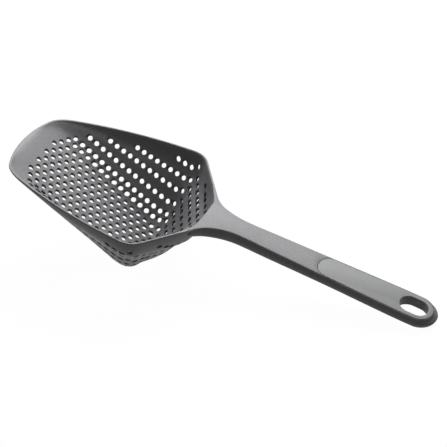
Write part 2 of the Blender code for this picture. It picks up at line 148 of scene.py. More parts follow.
class ScoopHandleSizes(bpy.types.PropertyGroup):
    length: length("Handle length", "Neck's inner edge to the handle's end", 0.2000)
    fall: angle("Handle fall", "Slope of the handle's top against the rim", 2.76)
    crest: length("Crest", "How far the handle's slope runs above the rim at the neck", 0.0020)
    crest_run: length("Crest run", "Over which length the neck rises to it", 0.0350)
    drop: length("Top drop", "How far the handle's top starts under the rim's", 0.00002)
    end_half: length("Half width at the end", "Half width of the rounded end", 0.0138)
    waist_half: length("Half width at the waist", "Half width of the slim part", 0.0100)
    waist_x: length("Waist", "Neck's inner edge to the slim part", 0.0320)
    neck_lean: number("Neck lean", "Lean of the neck's front under the bowl", 0.33)
    neck_lean_x: length("Neck lean reach", "Where the neck stands upright again", 0.0150)
    thicken_x: length("Thickness run", "Where the handle's thickness starts to change", 0.0200)
    neck_thick: length("Neck thickness", "Thickness at the neck", 0.0118)
    grip_thick: length("Grip thickness", "Thickness at the grip", 0.0099)
    edge: length("Edge rounding", "Radius of the top's edges", 0.0015)
    side_bow: length("Flank bow", "How far the flanks swell beyond the top", 0.0008)
    tip_bow: length("End bow", "How much further the end swells", 0.0022)
    slot_half: length("Slot half width", "Half width of the hanging slot", 0.0081)
    slot_length: length("Slot length", "Length of the hanging slot", 0.0226)
    slot_flare: length("Slot flare", "How much wider the slot is all round at its foot", 0.0016)
    slot_edge: length("Slot edge", "Rounding of the slot's upper edge", 0.0006)
    panel_start_x: length("Panel start", "Neck's inner edge to the panel's nose", 0.1010)
    panel_inset: length("Panel border", "Border of nylon left round the panel", 0.0013)
    panel_thick: length("Panel thickness", "Thickness of the soft panel", 0.0022)
    panel_nose: length("Panel nose", "Length of the panel's rounded nose", 0.0090)
    panel_edge: length("Panel edge", "Rounding of the panel's and the pocket's edges", 0.00025)
    gap: length("Seam", "Gap between the panel and its pocket", 0.0003)
    peg_diameter: length("Peg diameter", "Diameter of the pegs under the panel", 0.0040)
    peg_length: length("Peg length", "Length of the pegs under the panel", 0.0035)
    pegs: IntProperty(name="Pegs", description="Number of pegs under the panel", default=3, min=2)


class ScoopColours(bpy.types.PropertyGroup):
    nylon: colour("Nylon", "Colour of the moulding", "#757577")
    nylon_flow: colour("Nylon flow", "Colour where the melt left more filler at the surface", "#828284")
    # painted shade: a near-black colour for the nylon inside the drain holes, standing in for the shade in
    # them
    hole_wall: colour("Hole walls", "Colour of the smooth walls of the drain holes", "#242526")
    panel: colour("Soft panel", "Colour of the grip panel", "#898A8B")
    panel_bloom: colour("Soft panel bloom", "Colour of its paler patches", "#949495")
    floor: colour("Floor", "Colour of the floor", "#F4F4F4")


# How the wall falls from the rim to the crease: its share of the way across, and of the
# floor's depth; the diagonals and the back are steeper and have depths of their own
PROFILE = ((0.0, 0.0), (0.10, 0.23), (0.337, 0.43), (0.63, 0.73), (0.90, 0.935))
BACK_DEPTHS = (0.0, 0.235, 0.45, 0.765, 0.95)
WALL_STEPS = (6, 6, 5, 5)
CREASE_STEPS = 4

# The rim's outline, as shares of its own parts
LIP_STEPS, FRONT_STEPS, SIDE_STEPS, SHOULDER_STEPS, DIAGONAL_STEPS, NECK_STEPS = 12, 12, 26, 12, 12, 6
LIP_SHARE = 0.81  # of the front's half width, before its corner starts
LIP_POWER = 2.1  # how late the lip sweeps back
SIDE_FROM, SIDE_TO = 0.110, 0.922  # of the long side, between its rounded corners
SHOULDER_REACH = 0.15  # of the shoulder's half width, to where its rounding ends
OVERLAP = 0.4  # of the rim's width, by which the bowl reaches into the handle
OVERLAP_HALF = 0.78  # of the neck's half width, where it does so
NECK_CORNER, NECK_FLAT = 0.79, 0.62  # of the neck's half width, round the inner corner

# The bowl's shell
FLOOR_FLAT = 0.45  # of the floor's front, before its corner starts
FLOOR_FRONT_STEPS, FLOOR_TURN_STEPS = 16, 24
HALFWAY = 0.29  # 1 - sin 45 degrees: halfway round a rounded edge
MOST_ROUND = 0.3  # of the wall's height, for the rim's rounding
UNDER_RIM = 0.65  # of the wall's thickness, to the outer face's first row
FLOOR_RING = 0.6  # of the crease's rounding, to the last row on the floor

# The handle: where it is cut into sections, and over which share of its length it gets thinner
BAR_START, BAR_NECK, BAR_POWER = 0.0005, 0.040, 1.3
NECK_CUTS, GRIP_CUTS, NOSE_STEPS, ARC_STEPS, PEG_STEPS, EDGE_STEPS = 22, 24, 18, 20, 24, 4
CUT_ABOVE, CUT_BELOW = 0.0040, 0.0010
THICK_RUN = 0.55
# Its flank below the rounded edge: shares of the half width, of the bow and of the depth
FLANK = ((1.0, 1.0, 0.38), (1.0, 0.6, 0.68), (0.90, 0.0, 0.90), (0.60, 0.0, 1.0))
FLANK_STEPS = (4, 4, 5, 5)

# How the holes are punched
HOLE_OVER, HOLE_UNDER = 0.0020, 0.0032  # past the inner face, and past the outer one
CHAMFER_WIDE, CHAMFER_HIGH = 1.4, 0.4  # times the hole's edge
GRID_AHEAD = 3.0  # columns in front of the second row
GRID_SPARE = 5  # columns more than lie between the neck and the lip
LOOK_FROM = 0.01  # height over the rim's plane from which a point looks down
BORE = "hole wall"  # marks the faces inside the holes

SMOOTH_UP_TO = math.radians(35)
SAME_POINT = 0.000002
NOISE_SPAN = {"From Min": 0.3, "From Max": 0.7}  # where nearly all of a noise's values lie

# What the floor does with light: the share of its colour that it throws back at the spoon,
# and how much of the picture's floor is plain white instead of lit
FLOOR_RADIUS = 8.0
FLOOR_RETURN, FLOOR_WHITE, WHITE_GLOW = 0.30, 0.90, 1.09
WORLD_GLOW = 0.025

# A softbox close over the bowl, and a large weak one from the front: place, size and power
LAMPS = (("softbox_back", (-0.14, 0.44, 0.60), (0.58, 0.44), 8.8),
         ("softbox_front", (0.3, -2.4, 0.5), (2.0, 1.4), 1.5))

# The camera stands where the photograph was taken, worked out in the rim's plane
SENSOR, LENS = 36.0, 138.28
CAMERA_RIGHT, CAMERA_UP = (0.89503, 0.42956, 0.12), (-0.36616, 0.55408, 0.74761)
CAMERA_BACK, CAMERA_AT = (0.25466, -0.71307, 0.65321), (0.36678, -0.98007, 0.89505)


# Curves

def bezier(a, c, b, n):
    return [a * (1 - i / n) ** 2 + c * 2 * (i / n) * (1 - i / n) + b * (i / n) ** 2 for i in range(n + 1)]


def straight(a, b, n):
    return [a.lerp(b, i / n) for i in range(n + 1)]


def join(*runs):
    points = list(runs[0])
    for run in runs[1:]:
        points += run[1:]
    return points


def hermite(t):
    """Weights of a span's start, start slope, end and end slope."""
    return (1 + 2 * t) * (1 - t) ** 2, t * (1 - t) ** 2, t * t * (3 - 2 * t), t * t * (t - 1)


def smooth_run(knots, steps):
    """A smooth run through the knots that never overshoots one of them."""
    size = len(knots[0])
    gaps = [[b[k] - a[k] for k in range(size)] for a, b in zip(knots, knots[1:])]
    slopes = [gaps[0]]
    for a, b in zip(gaps, gaps[1:]):
        slopes.append([0.0 if a[k] * b[k] <= 0 else 2 * a[k] * b[k] / (a[k] + b[k]) for k in range(size)])
    slopes.append(gaps[-1])
    out = [tuple(knots[0])]
    for i, count in enumerate(steps):
        for j in range(1, count + 1):
            h = hermite(j / count)
            out.append(tuple(h[0] * knots[i][k] + h[1] * slopes[i][k] + h[2] * knots[i + 1][k]
                             + h[3] * slopes[i + 1][k] for k in range(size)))
    return out


def spread(poly, marks):
    """Points on poly at the same shares of its length as the marks have along theirs."""
    def shares(points):
        run = [0.0]
        for one, two in zip(points, points[1:]):
            run.append(run[-1] + (two - one).length)
        return [r / run[-1] for r in run]

    own = shares(poly)
    out = []
    for share in shares(marks):
        k = 0
        while k < len(own) - 2 and own[k + 1] < share:
            k += 1
        out.append(poly[k].lerp(poly[k + 1], (share - own[k]) / max(own[k + 1] - own[k], 1e-9)))
    return out


def mirrored(half):
    """A closed outline from its half, whose first and last points lie on the middle line."""
    other = [p.copy() for p in reversed(half[1:-1])]
    for p in other:
        p.y = -p.y
    return list(half) + other


# Bowl

def rim_line(s):
    corner = Vector((-s.lip_x + s.lip_sweep, s.front_half))
    shoulder = Vector((-s.shoulder_x, s.shoulder_half))
    neck = Vector((0.0, s.neck_half))
    lip = []
    for i in range(LIP_STEPS + 1):
        y = s.front_half * LIP_SHARE * i / LIP_STEPS
        lip.append(Vector((-s.lip_x + s.lip_sweep * (y / s.front_half) ** LIP_POWER, y)))
    along = shoulder - corner
    out = Vector((-along.y, along.x)).normalized()
    side = []
    for i in range(SIDE_STEPS + 1):
        t = SIDE_FROM + (SIDE_TO - SIDE_FROM) * i / SIDE_STEPS
        side.append(corner + along * t + out * s.side_bulge * 4 * t * (1 - t))
    diagonal = shoulder + (neck - shoulder).normalized() * SHOULDER_REACH * s.shoulder_half
    return join(lip, bezier(lip[-1], corner, side[0], FRONT_STEPS), side,
                bezier(side[-1], shoulder, diagonal, SHOULDER_STEPS),
                straight(diagonal, neck, DIAGONAL_STEPS))


def outer_rim(s):
    points = rim_line(s)
    back = s.rim_width * OVERLAP
    points[-1] = Vector((back, s.neck_half - back))
    return points + [Vector((back, s.neck_half * OVERLAP_HALF * (1 - i / NECK_STEPS)))
                     for i in range(NECK_STEPS + 1)]


def inner_rim(s):
    line = rim_line(s)
    inside = []
    for i, p in enumerate(line):
        t = (line[min(i + 1, len(line) - 1)] - line[max(i - 1, 0)]).normalized()
        inside.append(p + Vector((t.y, -t.x)) * s.rim_width)
    inside[0].y = 0.0
    turn = DIAGONAL_STEPS // 3
    keep = len(inside) - 1 - turn
    corner = bezier(inside[keep], Vector((0.0, s.neck_half * NECK_CORNER)),
                    Vector((0.0, s.neck_half * NECK_FLAT)), turn + 1)
    return inside[:keep] + corner[:-1] + [Vector((0.0, s.neck_half * NECK_FLAT * (1 - i / NECK_STEPS)))
                                          for i in range(NECK_STEPS + 1)]


def floor_edge(s, rim):
    front = -s.lip_x + s.rim_width + s.floor_front_in
    back = -s.floor_back_x
    f, g, c = s.floor_front_half, s.floor_back_half, s.floor_corner
    side_from = Vector((front + s.floor_front_run, f))
    side_to = Vector((back - c, g))
    lip = [Vector((front, 0.0))] + bezier(Vector((front, FLOOR_FLAT * f)), Vector((front, f)), side_from,
                                          FLOOR_FRONT_STEPS)
    turn = bezier(side_to, Vector((back, g)), Vector((back, g - c)), FLOOR_TURN_STEPS)
    neck = Vector((back, s.floor_neck_half))
    a = LIP_STEPS + FRONT_STEPS
    b = a + SIDE_STEPS
    e = b + SHOULDER_STEPS
    d = e + DIAGONAL_STEPS
    return join(spread(lip, rim[:a + 1]), spread([side_from, side_to], rim[a:b + 1]),
                spread(turn, rim[b:e + 1]), spread([turn[-1], neck], rim[e:d + 1]),
                spread([neck, Vector((back, 0.0))], rim[d:]))


def floor_height(s, x):
    return -max(x + s.lip_x - s.floor_start, 0.0) * math.tan(s.floor_angle)


def rows_to_mesh(rows):
    """Quads between neighbouring closed rows, and the rows' points."""
    bm = bmesh.new()
    made = [[bm.verts.new(p) for p in row] for row in rows]
    for a, b in zip(made, made[1:]):
        for i in range(len(a)):
            j = (i + 1) % len(a)
            bm.faces.new((a[i], a[j], b[j], b[i]))
    return bm, made


def bowl_shell(s):
    """The bowl without holes as a closed mesh, and its inner face alone."""
    inner, outer = inner_rim(s), outer_rim(s)
    floor = floor_edge(s, inner)
    middle = Vector(((-s.lip_x - s.floor_back_x) / 2, 0.0))
    soft = s.rim_round
    profile = smooth_run(PROFILE, WALL_STEPS)
    back_profile = smooth_run([(p[0], d) for p, d in zip(PROFILE, BACK_DEPTHS)], WALL_STEPS)

    def wall_point(i, share, depth):
        p = inner[i].lerp(floor[i], share)
        return Vector((p.x, p.y, floor_height(s, floor[i].x) * depth))

    # the inner edge's rounding takes up this much of each wall line
    depths = [-floor_height(s, b.x) for b in floor]
    starts = [min(soft, MOST_ROUND * d) / d for d in depths]
    bends = [min(d / s.bent_depth, 1.0) for d in depths]
    turn = LIP_STEPS + FRONT_STEPS + SIDE_STEPS
    backs = [min(max((i - turn) / SHOULDER_STEPS, 0.0), 1.0) for i in range(len(inner))]
    halves = []
    for (share, side_depth), (_, back_depth) in zip(profile, back_profile):
        row = []
        for i in range(len(inner)):
            pairs = ((PROFILE[1][1], BACK_DEPTHS[1]), (PROFILE[-1][1], BACK_DEPTHS[-1]),
                     (side_depth, back_depth))
            first, last, depth = (a + (b - a) * backs[i] for a, b in pairs)
            low = starts[i] / (1 + (first / PROFILE[1][0] - 1) * bends[i])
            deep = share + (depth - share) * bends[i]
            last = PROFILE[-1][0] + (last - PROFILE[-1][0]) * bends[i]
            reach = s.wall_reach + (1 - s.wall_reach) * bends[i]
            row.append(wall_point(i, (low + share * (1 - low / PROFILE[-1][0])) * reach,
                                  (starts[i] + deep * (1 - starts[i] / last)) * reach))
        halves.append(row)
    for k in range(1, CREASE_STEPS + 1):
        step = k / CREASE_STEPS
        row = []
        for i, b in enumerate(floor):
            q = b + (middle - b).normalized() * s.crease_soft * (1 + s.crease_extra * (1 - bends[i]))
            on_floor = Vector((q.x, q.y if b.y > 0 else 0.0, floor_height(s, q.x)))
            chord = (halves[len(profile) - 1][i] + on_floor) / 2
            corner = chord.lerp(Vector((b.x, b.y, floor_height(s, b.x))), 0.5)
            at = halves[len(profile) - 1][i]
            row.append(at * (1 - step) ** 2 + corner * 2 * step * (1 - step) + on_floor * step * step)
        halves.append(row)
    # one more row on the floor keeps its underside flat as well
    halves.append([])
    for p in halves[-2]:
        q = Vector((p.x, p.y)) + (middle - Vector((p.x, p.y))).normalized() * FLOOR_RING * s.crease_soft
        halves[-1].append(Vector((q.x, q.y if p.y > 0 else 0.0, floor_height(s, q.x))))

    bm, rows = rows_to_mesh([mirrored(row) for row in halves])
    bm.faces.new(rows[-1])
    bm.normal_update()
    if sum(f.normal.z for f in bm.faces) < 0:
        bmesh.ops.reverse_faces(bm, faces=bm.faces)
        bm.normal_update()
    inside = bm.copy()

    # over the rim: inner rounding, top, outer rounding, outer face
    chain = [rows[0]]
    for share, height, from_inner in ((HALFWAY, -HALFWAY, True), (1.0, 0.0, True), (1.0, 0.0, False),
                                      (HALFWAY, -HALFWAY, False), (0.0, -1.0, False)):
        ring = []
        for i, (a, b) in enumerate(zip(inner, outer)):
            way = (b - a).normalized()
            base = a + way * share * soft if from_inner else b - way * share * soft
            drop = height * (starts[i] * depths[i] if from_inner else soft)
            ring.append(Vector((base.x, base.y if i not in (0, len(inner) - 1) else 0.0, drop)))
        chain.append([bm.verts.new(p) for p in mirrored(ring)])
    chain.append([bm.verts.new((v.co.x, v.co.y, -s.wall * UNDER_RIM)) for v in chain[-1]])
    for row in rows[3:]:
        chain.append([bm.verts.new(v.co - v.normal * s.wall) for v in row])
    for a, b in zip(chain, chain[1:]):
        for i in range(len(a)):
            j = (i + 1) % len(a)
            bm.faces.new((a[j], a[i], b[i], b[j]))
    bm.faces.new(list(reversed(chain[-1])))
    bmesh.ops.recalc_face_normals(bm, faces=bm.faces)
    return bm, inside


# Handle and panel

def handle_half(s, neck_half, x):
    """Half width along the handle, smooth through the neck and the waist: each knot is a share
    of the way to the waist or to the end, and a share of the flare or the swell."""
    flare, swell = neck_half - s.waist_half, s.end_half - s.waist_half
    knots = ((0.0, neck_half), (0.25 * s.waist_x, s.waist_half + 0.50 * flare),
             (0.5625 * s.waist_x, s.waist_half + 0.18 * flare), (s.waist_x, s.waist_half),
             (0.30 * s.length, s.waist_half + 0.17 * swell),
             (0.55 * s.length, s.waist_half + 0.54 * swell),
             (0.85 * s.length, s.end_half), (s.length, s.end_half))
    for k in range(len(knots) - 1):
        x0, y0 = knots[k]
        x1, y1 = knots[k + 1]
        if x <= x1:
            xa, ya = knots[max(k - 1, 0)]
            xb, yb = knots[min(k + 2, len(knots) - 1)]
            m0 = (y1 - y0) / (x1 - x0) if k == 0 else (y1 - ya) / (x1 - xa)
            m1 = 0.0 if k >= len(knots) - 2 else (yb - y0) / (xb - x0)
            run = x1 - x0
            h = hermite((x - x0) / run)
            return h[0] * y0 + h[1] * run * m0 + h[2] * y1 + h[3] * run * m1
    return s.end_half


def top_height(s, x):
    left = max(1 - x / s.crest_run, 0.0)
    return s.crest * (1 - left * left) - math.tan(s.fall) * x - s.drop


def thickness(s, x):
    t = min(max((x - s.thicken_x) / (THICK_RUN * s.length), 0.0), 1.0)
    return s.neck_thick + (s.grip_thick - s.neck_thick) * t * t * (3 - 2 * t)


def end_arc(radius):
    """From the end's side to its tip, a quarter circle about the end's middle."""
    for i in range(ARC_STEPS + 1):
        a = math.pi / 2 * (1 - i / ARC_STEPS)
        yield Vector((math.cos(a), math.sin(a) if i < ARC_STEPS else 0.0)) * radius


def handle_bar(s, neck_half):
    """The handle as a closed bar whose half sections run from the top's middle to the bottom's."""
    end_x = s.length - s.end_half
    xs = [BAR_START + (BAR_NECK - BAR_START) * (i / NECK_CUTS) ** BAR_POWER for i in range(NECK_CUTS)]
    xs += [BAR_NECK + (end_x - BAR_NECK) * i / GRIP_CUTS for i in range(GRIP_CUTS)]
    frames = [(Vector((x, 0.0)), Vector((0.0, handle_half(s, neck_half, x)))) for x in xs]
    frames += [(Vector((end_x, 0.0)), arm) for arm in end_arc(s.end_half)]
    bm = bmesh.new()
    middles = {}
    spans = []
    # each half section: the top's rounded edge, then the flank, which swells and turns under;
    # a point is a share of the half width, and a depth
    for base, arm in frames:
        w = arm.length
        deep = thickness(s, base.x)
        bow = (s.side_bow + s.tip_bow * max(arm.x, 0.0) / w) / w
        lean = s.neck_lean * max(1 - base.x / s.neck_lean_x, 0.0)
        edge = s.edge
        section = [(1 - edge / w * (1 - math.sin(a)), edge * (1 - math.cos(a)))
                   for a in (math.pi / 2 * k / EDGE_STEPS for k in range(EDGE_STEPS + 1))]
        flank = [(share + swell * bow, low * deep) for share, swell, low in FLANK]
        section += smooth_run([(1.0, edge), *flank], FLANK_STEPS)[1:]
        sides = []
        for sign in (1, -1):
            ring = []
            for share, down in section:
                q = base + Vector((arm.x, arm.y * sign)) * share
                ring.append(bm.verts.new((q.x - lean * down, q.y, top_height(s, q.x) - down)))
            sides.append(ring)
            if arm.y == 0.0:
                sides.append(ring)
                break
        key = round(base.x, 6)
        if key not in middles:
            middles[key] = (bm.verts.new((base.x, 0.0, top_height(s, base.x))),
                            bm.verts.new((base.x - lean * deep, 0.0, top_height(s, base.x) - deep)))
        top, bottom = middles[key]
        spans.append([[top] + side + [bottom] for side in sides])
    for one, two in zip(spans, spans[1:]):
        for side in (0, 1):
            for k in range(len(one[side]) - 1):
                ring = []
                for v in (one[side][k], one[side][k + 1], two[side][k + 1], two[side][k]):
                    if v not in ring:
                        ring.append(v)
                if len(ring) > 2:
                    bm.faces.new(ring)
    bm.faces.new(spans[0][0] + list(reversed(spans[0][1][1:-1])))
    bmesh.ops.recalc_face_normals(bm, faces=bm.faces)
    return bm


def panel_outline(s, neck_half, grow):
    end_x = s.length - s.end_half
    start = s.panel_start_x - grow
    w = handle_half(s, neck_half, s.panel_start_x + s.panel_nose) - s.panel_inset + grow
    half = []
    for i in range(NOSE_STEPS):
        a = math.pi / 2 * i / NOSE_STEPS
        half.append(Vector((start + s.panel_nose * (1 - math.cos(a)), w * math.sin(a))))
    first = start + s.panel_nose
    for i in range(GRIP_CUTS):
        x = first + (end_x - first) * i / GRIP_CUTS
        half.append(Vector((x, handle_half(s, neck_half, x) - s.panel_inset + grow)))
    half += [Vector((end_x, 0.0)) + arm for arm in end_arc(s.end_half - s.panel_inset + grow)]
    return mirrored(half)


def slot_outline(s, grow):
    end_x = s.length - s.end_half
    start_x = end_x - (s.slot_length - 2 * s.slot_half)
    r = s.slot_half + grow
    points = []
    for cx, a0 in ((end_x, -math.pi / 2), (start_x, math.pi / 2)):
        for i in range(ARC_STEPS + 1):
            a = a0 + math.pi * i / ARC_STEPS
            points.append(Vector((cx + r * math.cos(a), r * math.sin(a))))
    return points


def peg_outline(x, r):
    turns = [2 * math.pi * i / PEG_STEPS for i in range(PEG_STEPS)]
    return [Vector((x + r * math.cos(a), r * math.sin(a))) for a in turns]


def stack(s, levels):
    """A closed body from outlines, each at its height over the handle's top."""
    bm, rows = rows_to_mesh([[Vector((p.x, p.y, top_height(s, p.x) + up)) for p in loop]
                             for loop, up in levels])
    bm.faces.new(rows[0])
    bm.faces.new(rows[-1])
    bmesh.ops.recalc_face_normals(bm, faces=bm.faces)
    return bm


def rounding(radius, steps=4):
    """Inset and height of a rounded upper edge, from the flat top down to the side."""
    for k in range(steps + 1):
        a = math.pi / 2 * k / steps
        yield radius * (1 - math.sin(a)), -radius * (1 - math.cos(a))


def slot_cutter(s):
    foot = -s.grip_thick - CUT_BELOW
    levels = [(slot_outline(s, s.slot_edge), CUT_ABOVE)]
    for grow, up in rounding(s.slot_edge):
        flare = s.slot_flare * (CUT_ABOVE - up) / (CUT_ABOVE - foot)
        levels.append((slot_outline(s, grow + flare), up))
    levels.append((slot_outline(s, s.slot_flare), foot))
    return stack(s, levels)


def pocket_cutter(s, neck_half):
    levels = [(panel_outline(s, neck_half, s.gap + s.panel_edge), CUT_ABOVE)]
    levels += [(panel_outline(s, neck_half, s.gap + grow), up) for grow, up in rounding(s.panel_edge, 3)]
    levels.append((panel_outline(s, neck_half, s.gap), -s.panel_thick - s.gap))
    return stack(s, levels)


def panel_body(s, neck_half):
    levels = [(panel_outline(s, neck_half, -inset), up) for inset, up in rounding(s.panel_edge, 3)]
    levels.append((panel_outline(s, neck_half, 0.0), -s.panel_thick))
    return stack(s, levels)


def peg_places(s):
    a = s.panel_start_x + 2 * s.panel_nose
    b = s.length - s.end_half - s.slot_length
    return [a + (b - a) * i / (s.pegs - 1) for i in range(s.pegs)]


# Objects

def to_object(bm, name):
    mesh = bpy.data.meshes.new(name)
    bm.to_mesh(mesh)
    bm.free()
    made = bpy.data.objects.new(name, mesh)
    bpy.context.scene.collection.objects.link(made)
    return made


def bake(piece):
    """Turns the piece and its modifiers into one plain mesh."""
    graph = bpy.context.evaluated_depsgraph_get()
    mesh = bpy.data.meshes.new_from_object(piece.evaluated_get(graph))
    piece.modifiers.clear()
    piece.data = mesh


def combine(piece, steps):
    helpers = []
    for kind, bm in steps:
        helpers.append(to_object(bm, "helper"))
        step = piece.modifiers.new(kind.lower(), 'BOOLEAN')
        step.operation = kind
        step.solver = 'MANIFOLD'
        step.object = helpers[-1]
    bake(piece)
    for helper in helpers:
        bpy.data.objects.remove(helper, do_unlink=True)


def finish_piece(piece, material, node):
    """Smooth faces with crisp edges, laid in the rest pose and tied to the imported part."""
    bm = bmesh.new()
    bm.from_mesh(piece.data)
    bmesh.ops.remove_doubles(bm, verts=bm.verts, dist=SAME_POINT)
    # the cuts leave points in the middle of straight edges, which would give slivers
    bmesh.ops.dissolve_verts(bm, verts=[v for v in bm.verts if len(v.link_edges) == 2])
    for face in bm.faces:
        face.smooth = True
        face.material_index = 0
    for edge in bm.edges:
        edge.smooth = len(edge.link_faces) == 2 and edge.calc_face_angle(0.0) < SMOOTH_UP_TO
    bm.to_mesh(piece.data)
    bm.free()
    piece.data.materials.clear()
    piece.data.materials.append(material)
    piece.data.transform(REST)
    # these curves swell past the coarser solids by up to 0.6 mm: they are kept in the solids' box
    for vertex in piece.data.vertices:
        for k in range(3):
            vertex.co[k] = min(max(vertex.co[k], CAD_BOX[0][k]), CAD_BOX[1][k])
    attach(piece, "root")
    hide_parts(node)


def add(tree, kind, values=None, links=None, **settings):
    """Adds a node with its settings, its own values and its links."""
    node = tree.nodes.new(kind)
    for name, value in settings.items():
        setattr(node, name, value)
    for socket, value in (values or {}).items():
        node.inputs[socket].default_value = value
    for socket, source in (links or {}).items():
        tree.links.new(source, node.inputs[socket])
    return node


# Drain holes

def perforation_tree(sizes):
    """Drops a triangular grid of points onto the bowl's inner face, keeps those that lie deep
    enough and inside the field, and punches a leaning hole at each of them."""
    tree = bpy.data.node_groups.new("scoop_perforations", 'GeometryNodeTree')
    tree.is_modifier = True
    ports = tree.interface
    ports.new_socket(name="Geometry", in_out='OUTPUT', socket_type='NodeSocketGeometry')
    ports.new_socket(name="Geometry", in_out='INPUT', socket_type='NodeSocketGeometry')
    for name, value in sizes.items():
        ports.new_socket(name=name, in_out='INPUT', socket_type='NodeSocket' + type(value).__name__.title())
    given = tree.nodes.new('NodeGroupInput').outputs
    made = {socket.name: socket for socket in given if socket.name}

    def follow(recipe):
        """Adds the nodes of a table; a sum is named by its operation, a source by its row's name."""
        for name, kind, sockets, *more in recipe:
            settings = more[0] if more else {}
            if "Node" not in kind:
                kind, settings = 'ShaderNodeMath', {"operation": kind}
            values, links = {}, {}
            for key, entry in sockets.items() if isinstance(sockets, dict) else enumerate(sockets):
                if not isinstance(entry, str) or entry == BORE:
                    values[key] = entry
                elif ":" in entry:
                    row, output = entry.split(":")
                    links[key] = made[row].node.outputs[output]
                else:
                    links[key] = made[entry]
            node = add(tree, kind, values, links, **settings)
            made[name] = node.outputs[0] if node.outputs else None

    # the grid: row j and column k from the point's own number, every second one kept;
    # each point looks straight down, and what it lands on says whether it is deep enough
    follow((
        ("index", 'GeometryNodeInputIndex', ()),
        ("twice", 'MULTIPLY', ("Rows", 2.0)),
        ("wide", 'ADD', ("twice", 1.0)),
        ("count", 'MULTIPLY', ("wide", "Columns")),
        ("middle", 'ADD', ("index", 0.5)),
        ("turns", 'DIVIDE', ("middle", "Columns")),
        ("line", 'FLOOR', ("turns",)),
        ("row", 'SUBTRACT', ("line", "Rows")),
        ("rest", 'FLOORED_MODULO', ("index", "Columns")),
        ("column", 'SUBTRACT', ("rest", GRID_AHEAD)),
        ("both", 'ADD', ("row", "column")),
        ("parity", 'FLOORED_MODULO', ("both", 2.0)),
        ("even", 'LESS_THAN', ("parity", 0.5)),
        ("flat y", 'MULTIPLY', ("row", "Row Step")),
        ("reach", 'ABSOLUTE', ("flat y",)),
        ("on wall", 'GREATER_THAN', ("reach", "Wall Row")),
        ("side", 'SIGN', ("flat y",)),
        ("shift", 'MULTIPLY', ("side", "Wall Row In")),
        ("inward", 'MULTIPLY', ("shift", "on wall")),
        ("y", 'SUBTRACT', ("flat y", "inward")),
        ("steps", 'MULTIPLY', ("column", "Column Step")),
        ("flat x", 'ADD', ("Start X", "steps")),
        ("back", 'MULTIPLY', ("on wall", "Wall Row Back")),
        ("x", 'ADD', ("flat x", "back")),
        ("spot", 'ShaderNodeCombineXYZ', {"X": "x", "Y": "y"}),
        ("points", 'GeometryNodePoints', {"Count": "count", "Position": "spot"}),
        ("face", 'GeometryNodeObjectInfo', {"Object": "Inner Face"}, {"transform_space": 'ORIGINAL'}),
        ("here", 'GeometryNodeInputPosition', ()),
        ("parts", 'ShaderNodeSeparateXYZ', {0: "here"}),
        ("above", 'ShaderNodeCombineXYZ', {"X": "parts:X", "Y": "parts:Y", "Z": LOOK_FROM}),
        ("ray", 'GeometryNodeRaycast', {"Target Geometry": "face:Geometry", "Source Position": "above",
                                        "Ray Direction": (0, 0, -1), "Ray Length": 1.0}),
        ("landing", 'ShaderNodeSeparateXYZ', {0: "ray:Hit Position"}),
        ("depth", 'MULTIPLY', ("landing:Z", -1.0)),
        ("less", 'SUBTRACT', ("Least Wall Depth", "Least Floor Depth")),
        ("change", 'MULTIPLY', ("on wall", "less")),
        ("least", 'ADD', ("Least Floor Depth", "change")),
        ("deep", 'GREATER_THAN', ("depth", "least")),
        ("far", 'ABSOLUTE', ("y",)),
        ("slant", 'MULTIPLY', ("far", "Field Slope")),
        ("end", 'ADD', ("slant", "Field End")),
        ("inside", 'GREATER_THAN', ("x", "end")),
        ("in field", 'MULTIPLY', ("deep", "inside")),
        ("wanted", 'MULTIPLY', ("even", "in field")),
        ("good", 'MULTIPLY', ("wanted", "ray:Is Hit")),
        ("bad", 'LESS_THAN', ("good", 0.5)),
        ("kept", 'GeometryNodeDeleteGeometry', {"Geometry": "points", "Selection": "bad"}),
        ("landed", 'GeometryNodeSetPosition', {"Geometry": "kept", "Position": "ray:Hit Position"}),
        # the holes lean off the surface's normal, and those in the walls are wider
        ("facing", 'ShaderNodeSeparateXYZ', {0: "ray:Hit Normal"}),
        ("steep", 'LESS_THAN', ("facing:Z", "Steep")),
        ("more", 'ShaderNodeVectorMath', {0: "Wall Lean", "Scale": "steep"}, {"operation": 'SCALE'}),
        ("lean", 'ShaderNodeVectorMath', {0: "Lean", 1: "more"}, {"operation": 'ADD'}),
        ("axis", 'ShaderNodeVectorMath', {0: "ray:Hit Normal", 1: "lean"}, {"operation": 'ADD'}),
        ("growth", 'MULTIPLY', ("steep", "Wall Widening")),
        ("width", 'ADD', ("growth", 1.0)),
        ("scale", 'ShaderNodeCombineXYZ', {"X": "width", "Y": "width", "Z": 1.0}),
        ("turn", 'FunctionNodeAlignRotationToVector', {"Vector": "axis"}, {"axis": 'Z'}),
    ))

